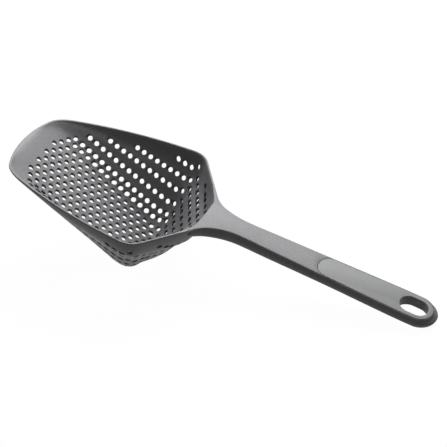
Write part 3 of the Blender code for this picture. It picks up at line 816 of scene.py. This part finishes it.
    # the punch: a cylinder of four rings, the upper two wider by the chamfer, none of them
    # level with the face, where the cut would be unsure; its straight part marks the holes' walls
    follow((
        ("rod", 'GeometryNodeMeshCylinder', {"Vertices": "Sides", "Side Segments": 3, "Radius": 1.0,
                                             "Depth": 3.0}, {"fill_type": 'NGON'}),
        ("raised", 'ADD', ("parts:Z", 1.5)),
        ("ring", 'ROUND', ("raised",)),
        ("upper", 'GREATER_THAN', ("ring", 1.5)),
        ("flare", 'MULTIPLY', ("upper", CHAMFER_WIDE)),
        ("chamfer", 'MULTIPLY', ("flare", "Edge")),
        ("radius", 'ADD', ("Radius", "chamfer")),
        ("foot", 'SUBTRACT', (-HOLE_UNDER, "Wall")),
        ("low", 'MULTIPLY', ("Edge", -1.0)),
        ("high", 'MULTIPLY', ("Edge", CHAMFER_HIGH)),
    ))
    rise = add(tree, 'GeometryNodeIndexSwitch', None, {"Index": made["ring"]}, data_type='FLOAT')
    while len(rise.index_switch_items) < 4:
        rise.index_switch_items.new()
    for k, name in enumerate(("foot", "low", "high")):
        tree.links.new(made[name], rise.inputs[k + 1])
    rise.inputs[4].default_value = HOLE_OVER
    made["height"] = rise.outputs[0]
    follow((
        ("across", 'MULTIPLY', ("parts:X", "radius")),
        ("along", 'MULTIPLY', ("parts:Y", "radius")),
        ("shape", 'ShaderNodeCombineXYZ', {"X": "across", "Y": "along", "Z": "height"}),
        ("straight part", 'SUBTRACT', (1.0, "upper")),
        ("marked", 'GeometryNodeStoreNamedAttribute', {"Geometry": "rod", "Name": BORE,
                                                       "Value": "straight part"},
         {"domain": 'FACE', "data_type": 'FLOAT'}),
        ("punch", 'GeometryNodeSetPosition', {"Geometry": "marked", "Position": "shape"}),
        ("punches", 'GeometryNodeInstanceOnPoints', {"Points": "landed", "Instance": "punch",
                                                     "Rotation": "turn", "Scale": "scale"}),
        ("solid", 'GeometryNodeRealizeInstances', {"Geometry": "punches"}),
        ("cut", 'GeometryNodeMeshBoolean', {"Mesh 1": "Geometry", "Mesh 2": "solid"},
         {"operation": 'DIFFERENCE', "solver": 'MANIFOLD'}),
        ("whole", 'GeometryNodeRealizeInstances', {"Geometry": "cut"}),
        ("dressed", 'GeometryNodeSetMaterial', {"Geometry": "whole", "Material": "Material"}),
        ("end", 'NodeGroupOutput', {"Geometry": "dressed"}),
    ))
    return tree


def perforate(piece, inside, bowl, holes, material):
    """Punches the drain holes into the moulding and bakes them."""
    row_step = holes.pitch * math.sqrt(3) / 2
    column_step = holes.pitch / 2 * math.cos(bowl.floor_angle)
    sizes = {"Inner Face": inside, "Material": material,
             "Rows": int(bowl.shoulder_half / row_step) + 1,
             "Columns": int(bowl.lip_x / column_step) + GRID_SPARE,
             "Row Step": row_step, "Column Step": column_step, "Start X": -holes.first_x,
             "Wall Row": holes.wall_row, "Wall Row In": holes.wall_row_in,
             "Wall Row Back": holes.wall_row_back, "Least Floor Depth": holes.least_floor,
             "Least Wall Depth": holes.least_wall, "Radius": holes.diameter / 2, "Edge": holes.edge,
             "Wall": bowl.wall, "Sides": holes.sides, "Steep": holes.steep, "Lean": Vector(holes.lean),
             "Wall Lean": Vector(holes.wall_lean) - Vector(holes.lean),
             "Field Slope": holes.field_slope, "Field End": holes.field_end,
             "Wall Widening": holes.wall_diameter / holes.diameter - 1}
    tree = perforation_tree(sizes)
    step = piece.modifiers.new("perforations", 'NODES')
    step.node_group = tree
    for socket in tree.interface.items_tree:
        if socket.in_out == 'INPUT' and socket.name in sizes:
            step[socket.identifier] = sizes[socket.name]
    bake(piece)


# Materials

def fresh_material(name):
    """A new material, its nodes and its shader."""
    material = bpy.data.materials.new(name)
    material.use_nodes = True
    return material, material.node_tree, material.node_tree.nodes["Principled BSDF"]


def moulded_material(name, shades, stretch, patch_mm, mottle, grain_mm, fleck, matte, relief):
    """A moulded surface: two shades in soft patches that also differ in gloss, and a grain in
    the colour and the relief. Gives the material, its nodes, its shader and its colour."""
    material, tree, shader = fresh_material(name)
    spot = add(tree, 'ShaderNodeTexCoord').outputs["Object"]
    lie = add(tree, 'ShaderNodeMapping', {"Scale": stretch}, {"Vector": spot})
    patches = add(tree, 'ShaderNodeTexNoise', {"Scale": 1000 / patch_mm, "Detail": 3.0,
                                               "Roughness": mottle}, {"Vector": lie.outputs[0]})
    grains = add(tree, 'ShaderNodeTexNoise', {"Scale": 1000 / grain_mm, "Detail": 2.0,
                                              "Roughness": 0.6}, {"Vector": spot})
    base = add(tree, 'ShaderNodeMix', {6: (*shades[0], 1), 7: (*shades[1], 1)}, {0: patches.outputs["Fac"]},
               data_type='RGBA')
    flecks = add(tree, 'ShaderNodeMapRange', {**NOISE_SPAN, "To Min": 1 - fleck, "To Max": 1 + fleck},
                 {"Value": grains.outputs["Fac"]})
    shade = add(tree, 'ShaderNodeMix', {0: 1.0}, {6: base.outputs[2], 7: flecks.outputs[0]},
                data_type='RGBA', blend_type='MULTIPLY')
    tree.links.new(shade.outputs[2], shader.inputs["Base Color"])
    dull = add(tree, 'ShaderNodeMapRange', {**NOISE_SPAN, "To Min": matte[0], "To Max": matte[1]},
               {"Value": patches.outputs["Fac"]})
    tree.links.new(dull.outputs[0], shader.inputs["Roughness"])
    bumps = add(tree, 'ShaderNodeBump', relief, {"Height": grains.outputs["Fac"]})
    tree.links.new(bumps.outputs[0], shader.inputs["Normal"])
    return material, tree, shader, shade.outputs[2]


def nylon_material(tints):
    """Nylon, injection moulded against a spark-eroded steel face: an even, matte grey with a
    fine grain that scatters the light, and cloudy patches where the melt flowed."""
    # the clouds are 22 mm across and drawn out to about 50 mm along the part; the real grain
    # is 0.1 to 0.2 mm, drawn at about 0.8 mm so that it shows at a pixel's size
    material, tree, shader, shade = moulded_material(
        "nylon_moulded_spark_eroded", (tints.nylon, tints.nylon_flow), stretch=(0.45, 1.0, 1.0),
        patch_mm=22.2, mottle=0.55, grain_mm=0.8333, fleck=0.20, matte=(0.42, 0.52),
        relief={"Strength": 0.25, "Distance": 0.0002})
    shader.inputs["IOR"].default_value = 1.53
    shader.inputs["Specular IOR Level"].default_value = 0.25
    # painted shade: the faces inside the drain holes get a near-black colour, which stands in for the shade
    # inside them
    hole_shade_mask = add(tree, 'ShaderNodeAttribute', attribute_name=BORE)
    smooth = add(tree, 'ShaderNodeMix', {7: (*tints.hole_wall, 1)}, {0: hole_shade_mask.outputs["Fac"], 6: shade},
                 data_type='RGBA')
    tree.links.new(smooth.outputs[2], shader.inputs["Base Color"])
    return material


def panel_material(tints):
    """Soft-touch thermoplastic elastomer, moulded against a finely blasted face: paler and
    drier than the nylon, with a velvety edge and a grain too fine to see."""
    # the patches are about 17 mm across; the grain is drawn at about 0.6 mm so that it shows
    material, _, shader, _ = moulded_material(
        "elastomer_soft_touch_moulded", (tints.panel, tints.panel_bloom), stretch=(1.0, 1.0, 1.0),
        patch_mm=16.67, mottle=0.5, grain_mm=0.625, fleck=0.13, matte=(0.54, 0.64),
        relief={"Strength": 0.15, "Distance": 0.0001})
    shader.inputs["IOR"].default_value = 1.50
    shader.inputs["Specular IOR Level"].default_value = 0.33
    shader.inputs["Sheen Weight"].default_value = 0.05
    shader.inputs["Sheen Roughness"].default_value = 0.5
    return material


def direct_view(tree):
    """1 where the camera, a reflection or glass looks straight at something, or else 0."""
    path = add(tree, 'ShaderNodeLightPath').outputs
    either = add(tree, 'ShaderNodeMath', None, {0: path["Is Camera Ray"], 1: path["Is Glossy Ray"]},
                 operation='ADD')
    return add(tree, 'ShaderNodeMath', None, {0: either.outputs[0], 1: path["Is Transmission Ray"]},
               operation='ADD').outputs[0]


def floor_material(tints):
    """Smooth white paper: it shows as the pale background to the camera and in reflections,
    and keeps the spoon's soft shadow."""
    material, tree, shader = fresh_material("floor_white_paper")
    shader.inputs["Roughness"].default_value = 0.9
    shader.inputs["Specular IOR Level"].default_value = 0.0
    shader.inputs["Base Color"].default_value = (*[FLOOR_RETURN * c for c in tints.floor], 1)
    share = add(tree, 'ShaderNodeMath', {1: FLOOR_WHITE}, {0: direct_view(tree)}, operation='MULTIPLY')
    glow = add(tree, 'ShaderNodeEmission', {"Color": (1, 1, 1, 1), "Strength": WHITE_GLOW})
    both = add(tree, 'ShaderNodeMixShader', None,
               {0: share.outputs[0], 1: shader.outputs[0], 2: glow.outputs[0]})
    tree.links.new(both.outputs[0], tree.nodes["Material Output"].inputs["Surface"])
    return material


# Operators

class SCOOP_OT_moulding(bpy.types.Operator):
    """Build the bowl, neck and handle as one perforated nylon moulding"""
    bl_idname = "scoop.moulding"
    bl_label = "Moulding"

    def execute(self, context):
        scene = context.scene
        bowl, holes, handle = scene.scoop_bowl, scene.scoop_holes, scene.scoop_handle
        material = nylon_material(scene.scoop_colours)
        shell, inside = bowl_shell(bowl)
        piece = to_object(shell, "perforated_scoop")
        inner_face = to_object(inside, "inner_face")
        steps = [('UNION', handle_bar(handle, bowl.neck_half)),
                 ('DIFFERENCE', pocket_cutter(handle, bowl.neck_half)),
                 ('DIFFERENCE', slot_cutter(handle))]
        for x in peg_places(handle):
            hole = peg_outline(x, handle.peg_diameter / 2 + handle.gap)
            low = -handle.panel_thick - handle.peg_length - handle.gap
            steps.append(('DIFFERENCE', stack(handle, [(hole, CUT_ABOVE), (hole, low)])))
        combine(piece, steps)
        perforate(piece, inner_face, bowl, holes, material)
        bpy.data.objects.remove(inner_face, do_unlink=True)
        finish_piece(piece, material, "scoop_moulding")
        return {'FINISHED'}


class SCOOP_OT_grip_panel(bpy.types.Operator):
    """Build the soft panel that is let into the handle"""
    bl_idname = "scoop.grip_panel"
    bl_label = "Grip Panel"

    def execute(self, context):
        scene = context.scene
        handle, neck_half = scene.scoop_handle, scene.scoop_bowl.neck_half
        piece = to_object(panel_body(handle, neck_half), "soft_grip_panel")
        steps = []
        for x in peg_places(handle):
            peg = peg_outline(x, handle.peg_diameter / 2)
            steps.append(('UNION', stack(handle, [(peg, -handle.panel_thick / 2),
                                                  (peg, -handle.panel_thick - handle.peg_length)])))
        steps.append(('DIFFERENCE', slot_cutter(handle)))
        combine(piece, steps)
        finish_piece(piece, panel_material(scene.scoop_colours), "grip_panel")
        return {'FINISHED'}


class SCOOP_OT_stage(bpy.types.Operator):
    """Set up the floor, the world, the lamps and the camera"""
    bl_idname = "scoop.stage"
    bl_label = "Stage"

    def execute(self, context):
        scene = context.scene
        bm = bmesh.new()
        bmesh.ops.create_circle(bm, cap_ends=True, segments=64, radius=FLOOR_RADIUS)
        floor = to_object(bm, "floor")
        floor.data.materials.append(floor_material(scene.scoop_colours))

        world = bpy.data.worlds.new("studio")
        world.use_nodes = True
        scene.world = world
        tree = world.node_tree
        soft = tree.nodes["Background"]
        soft.inputs["Color"].default_value = (1, 1, 1, 1)
        soft.inputs["Strength"].default_value = WORLD_GLOW
        white = add(tree, 'ShaderNodeBackground', {"Color": (1, 1, 1, 1), "Strength": 1.0})
        both = add(tree, 'ShaderNodeMixShader', None,
                   {0: direct_view(tree), 1: soft.outputs[0], 2: white.outputs[0]})
        tree.links.new(both.outputs[0], tree.nodes["World Output"].inputs["Surface"])

        for name, place, sides, power in LAMPS:
            lamp = bpy.data.lights.new(name, 'AREA')
            lamp.shape = 'RECTANGLE'
            lamp.size, lamp.size_y = sides
            lamp.energy = power
            holder = bpy.data.objects.new(name, lamp)
            scene.collection.objects.link(holder)
            holder.location = place
            holder.visible_camera = False
            holder.rotation_euler = (-Vector(place)).to_track_quat('-Z', 'Y').to_euler()

        lens = bpy.data.cameras.new("camera")
        lens.sensor_width = SENSOR
        lens.lens = LENS
        eye = bpy.data.objects.new("camera", lens)
        scene.collection.objects.link(eye)
        rows = zip(CAMERA_RIGHT, CAMERA_UP, CAMERA_BACK, CAMERA_AT)
        eye.matrix_world = REST @ Matrix([*rows, (0, 0, 0, 1)])
        scene.camera = eye
        scene.view_settings.view_transform = 'Standard'
        return {'FINISHED'}


class SCOOP_PT_build(bpy.types.Panel):
    bl_label = "Slotted Scoop Spoon"
    bl_idname = "SCOOP_PT_build"
    bl_space_type = 'VIEW_3D'
    bl_region_type = 'UI'
    bl_category = "Scoop"

    def draw(self, context):
        for kind in PIECES:
            self.layout.operator(kind.bl_idname)
        for group in GROUPS:
            sizes = getattr(context.scene, group)
            box = self.layout.box()
            for name in sizes.__annotations__:
                box.prop(sizes, name)


GROUPS = {"scoop_bowl": ScoopBowlSizes, "scoop_holes": ScoopHoleSizes,
          "scoop_handle": ScoopHandleSizes, "scoop_colours": ScoopColours}
PIECES = (SCOOP_OT_moulding, SCOOP_OT_grip_panel, SCOOP_OT_stage)


def register():
    for kind in (*GROUPS.values(), *PIECES, SCOOP_PT_build):
        bpy.utils.register_class(kind)
    for name, kind in GROUPS.items():
        setattr(bpy.types.Scene, name, PointerProperty(type=kind))


def unregister():
    for name in GROUPS:
        delattr(bpy.types.Scene, name)
    for kind in (SCOOP_PT_build, *reversed(PIECES), *reversed(list(GROUPS.values()))):
        bpy.utils.unregister_class(kind)


def main():
    register()
    bpy.ops.scoop.moulding()
    bpy.ops.scoop.grip_panel()
    bpy.ops.scoop.stage()


if __name__ == "__main__":
    main()
